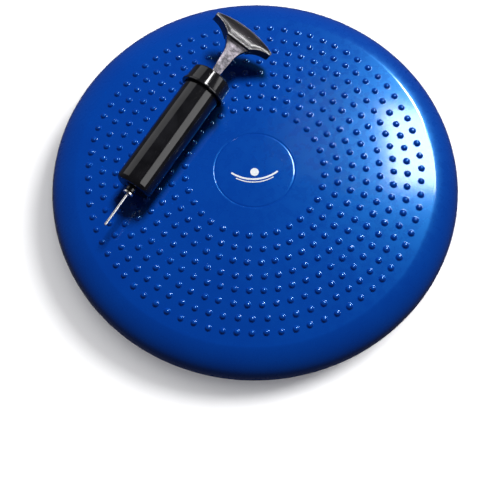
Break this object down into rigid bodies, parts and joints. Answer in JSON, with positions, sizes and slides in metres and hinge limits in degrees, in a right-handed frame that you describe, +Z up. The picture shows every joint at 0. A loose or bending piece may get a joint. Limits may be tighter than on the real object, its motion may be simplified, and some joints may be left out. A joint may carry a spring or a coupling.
{
  "type": "wobble cushion",
  "caption": "Round inflatable wobble cushion with a nubbed domed top and underside, a rim air valve, and its hand pump with a needle lying on top.",
  "frame": {"origin": "centre of the disc on the floor, at the bottom of the coarse nubs", "axes": "+Z up through the disc; +X to the right of the picture and +Y away from its viewer; the air valve is at +Y"},
  "size_m": [0.33, 0.3298, 0.092],
  "materials": {
    "bladder_pvc": "satin soft PVC, royal blue",
    "valve_rubber": "matt black rubber",
    "plug_plastic": "moulded blue plastic",
    "pump_black": "glossy black plastic",
    "rod_grey": "mottled grey plastic, worn",
    "grip_black": "satin black plastic",
    "guide_plastic": "white acetal",
    "seal_rubber": "black nitrile rubber",
    "insert_brass": "turned brass",
    "needle_steel": "plated steel"
  },
  "bodies": {
    "base": {"lower_skin": "bladder_pvc"},
    "rim": {"rim_weld": "bladder_pvc", "valve_boss": "bladder_pvc", "valve_core": "valve_rubber"},
    "upper": {"upper_skin": "bladder_pvc"},
    "plug": {"valve_plug": "plug_plastic"},
    "pump": {"pump_barrel": "pump_black", "nozzle_insert": "insert_brass", "outlet_flap": "seal_rubber", "flap_cage": "guide_plastic", "barrel_cap": "pump_black", "cap_gasket": "seal_rubber", "rod_guide": "guide_plastic"},
    "plunger": {"plunger_rod": "rod_grey", "handle_grip": "grip_black", "rod_bumper": "seal_rubber", "piston_head": "guide_plastic", "piston_ring": "seal_rubber"},
    "seal": {"needle_seal": "seal_rubber"},
    "needle": {"needle_collar": "needle_steel", "needle_tube": "needle_steel"}
  },
  "joints": [
    {"name": "wobble_pitch", "type": "hinge", "parent": "base", "child": "rim", "pos_m": [0, 0, 0.02772], "axis": [1, 0, 0], "range_deg": [-4, 4], "stiffness_Nm_per_rad": 300, "deforming": ["lower_skin"]},
    {"name": "wobble_roll", "type": "hinge", "parent": "rim", "child": "upper", "pos_m": [0, 0, 0.02772], "axis": [0, 1, 0], "range_deg": [-4, 4], "stiffness_Nm_per_rad": 300, "deforming": ["upper_skin"]},
    {"name": "plug_pull", "type": "slide", "parent": "rim", "child": "plug", "axis": [0, 1, 0], "range_m": [0, 0.012]},
    {"name": "pump_lift", "type": "slide", "parent": "upper", "child": "pump", "axis": [0, 0, 1], "range_m": [0, 0.2]},
    {"name": "plunger_stroke", "type": "slide", "parent": "pump", "child": "plunger", "axis": [0.5793, 0.8137, 0.0471], "range_m": [0, 0.08]},
    {"name": "needle_travel", "type": "slide", "parent": "pump", "child": "seal", "axis": [-0.5793, -0.8137, -0.0471], "range_m": [0, 0.00476]},
    {"name": "needle_unscrew", "type": "hinge", "parent": "seal", "child": "needle", "pos_m": [-0.09979, -0.02307, 0.06798], "axis": [-0.5793, -0.8137, -0.0471], "range_deg": [0, 2160]}
  ],
  "couplings": [
    {"joint": "needle_unscrew", "follows": "needle_travel", "rad_per_m": 7915.8}
  ]
}
